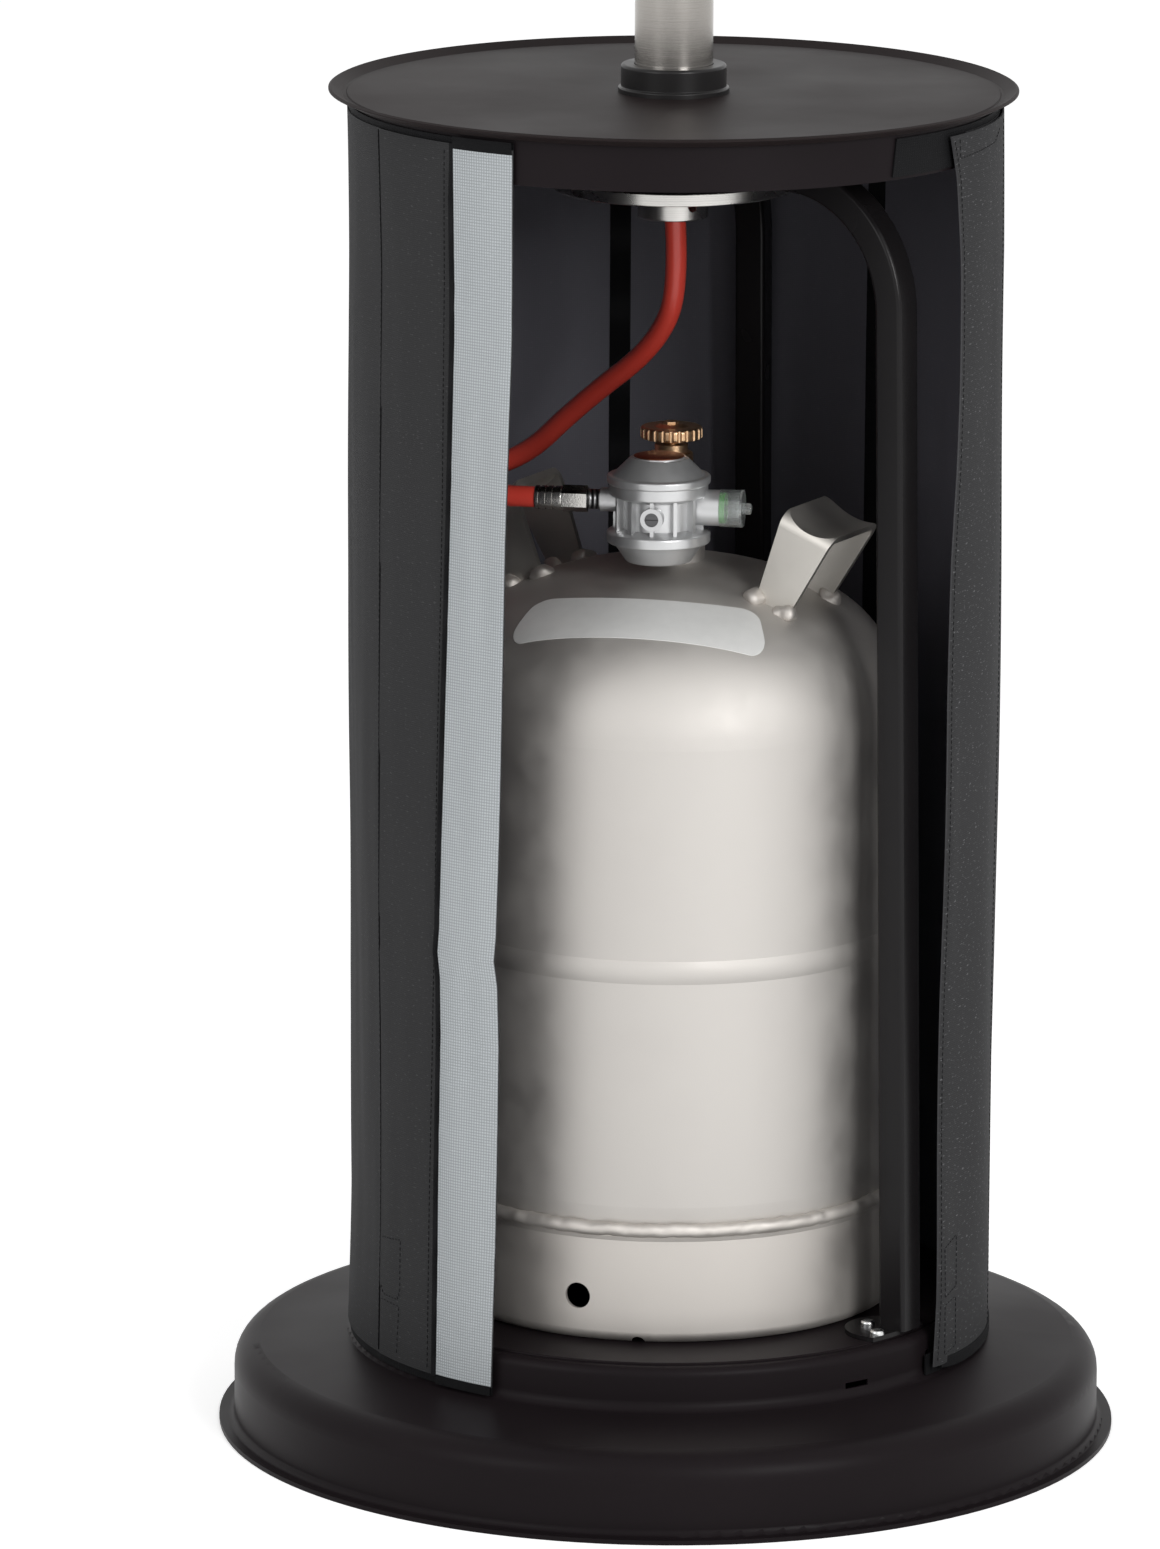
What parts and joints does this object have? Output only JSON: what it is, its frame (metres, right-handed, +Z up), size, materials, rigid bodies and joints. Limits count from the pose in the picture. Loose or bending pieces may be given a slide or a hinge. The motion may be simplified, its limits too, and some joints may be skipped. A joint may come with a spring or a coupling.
{
  "type": "mushroom patio heater",
  "caption": "Free-standing gas patio heater with a round table, a fabric cover round the bottle bay with one flap open, a pole and a round reflector hood.",
  "frame": {"origin": "on the floor, on the axis of the pole", "axes": "+Z up, -Y the front where the cover is open, +X to the right as seen from the front"},
  "size_m": [0.764, 0.764, 2.177],
  "materials": {
    "table_paint": "semi-gloss dark grey-brown powder coat",
    "inner_steel": "plain zinc-plated",
    "bright_steel": "polished satin",
    "zinc_screw": "bright",
    "pole_steel": "satin",
    "cover_fabric": "matt woven with light flecks",
    "black_trim": "matt webbing",
    "strip_fabric": "matt light grey",
    "black_plastic": "satin",
    "bottle_aluminium": "bead-blasted, matt",
    "handle_aluminium": "mill finish, satin",
    "nickel": "nickel-plated",
    "label_white": "satin",
    "brass": "satin",
    "regulator_cast": "zinc die-cast, satin",
    "hose_rubber": "satin orange-red",
    "clear_plastic": "clear",
    "green_plastic": "gloss",
    "housing_steel": "satin",
    "screen_steel": "perforated, heat-dulled",
    "hood_aluminium": "bright"
  },
  "bodies": {
    "frame": {"base_pan": "table_paint", "bottle_handles": "handle_aluminium", "bottle_label": "label_white", "bottle_neck": "bottle_aluminium", "bottle_plate": "table_paint", "bottle_shell": "bottle_aluminium", "burner_floor": "housing_steel", "burner_housing": "housing_steel", "closure_strip": "strip_fabric", "control_fascia": "black_plastic", "emitter_screen": "screen_steel", "foot_ring": "bottle_aluminium", "gas_hose": "hose_rubber", "gas_riser": "inner_steel", "gas_valve": "brass", "hem_band": "black_trim", "hood": "hood_aluminium", "hood_studs": "zinc_screw", "hose_ferrule": "nickel", "hose_nut": "nickel", "hub_screws": "zinc_screw", "igniter": "black_plastic", "indicator_ring": "green_plastic", "leg_foot_plates": "table_paint", "leg_foot_screws": "zinc_screw", "leg_front_right": "table_paint", "leg_left": "table_paint", "leg_rear": "table_paint", "lower_pole": "pole_steel", "main_burner": "inner_steel", "main_cover": "cover_fabric", "mounting_disc": "bright_steel", "outlet_nipple": "inner_steel", "piping": "black_trim", "pole_collar": "black_plastic", "pole_screws": "zinc_screw", "pole_sleeve": "inner_steel", "pole_socket": "bright_steel", "port_plug": "zinc_screw", "regulator_body": "regulator_cast", "regulator_cap": "regulator_cast", "seam_tapes": "black_trim", "sight_cap": "clear_plastic", "skirt_band": "black_trim", "strip_tabs": "black_trim", "table_skirt": "table_paint", "table_support": "inner_steel", "table_top": "table_paint", "union_nut": "brass", "upper_pole": "pole_steel", "valve_body": "brass", "wing_nuts": "zinc_screw"},
    "handwheel": {"valve_spindle": "brass", "valve_handwheel": "brass", "handwheel_nut": "zinc_screw"},
    "reset_button": {"reset_button": "clear_plastic"},
    "plunger": {"valve_plunger": "black_plastic"},
    "knob": {"control_knob": "black_plastic"},
    "igniter_button": {"igniter_button": "black_plastic"},
    "door": {"cover_door": "cover_fabric"}
  },
  "joints": [
    {"name": "handwheel_turn", "type": "hinge", "parent": "frame", "child": "handwheel", "pos_m": [0, 0, 0.65], "axis": [0, 0, 1], "range_deg": [0, 540]},
    {"name": "reset_push", "type": "slide", "parent": "frame", "child": "reset_button", "axis": [-0.9885, 0.1513, 0], "range_m": [0, 0.0025], "stiffness_N_per_m": 400, "springref_m": -0.0005},
    {"name": "knob_push", "type": "slide", "parent": "frame", "child": "plunger", "axis": [0, 1, 0], "range_m": [0, 0.004], "stiffness_N_per_m": 800, "springref_m": -0.001},
    {"name": "knob_turn", "type": "hinge", "parent": "plunger", "child": "knob", "pos_m": [-0.018, -0.103, 1.896], "axis": [0, -1, 0], "range_deg": [0, 210]},
    {"name": "igniter_push", "type": "slide", "parent": "frame", "child": "igniter_button", "axis": [0, 1, 0], "range_m": [0, 0.006], "stiffness_N_per_m": 700, "springref_m": -0.001},
    {"name": "cover_door_swing", "type": "hinge", "parent": "frame", "child": "door", "pos_m": [0, 0, 0], "axis": [0, 0, -1], "range_deg": [0, 97.5]}
  ]
}
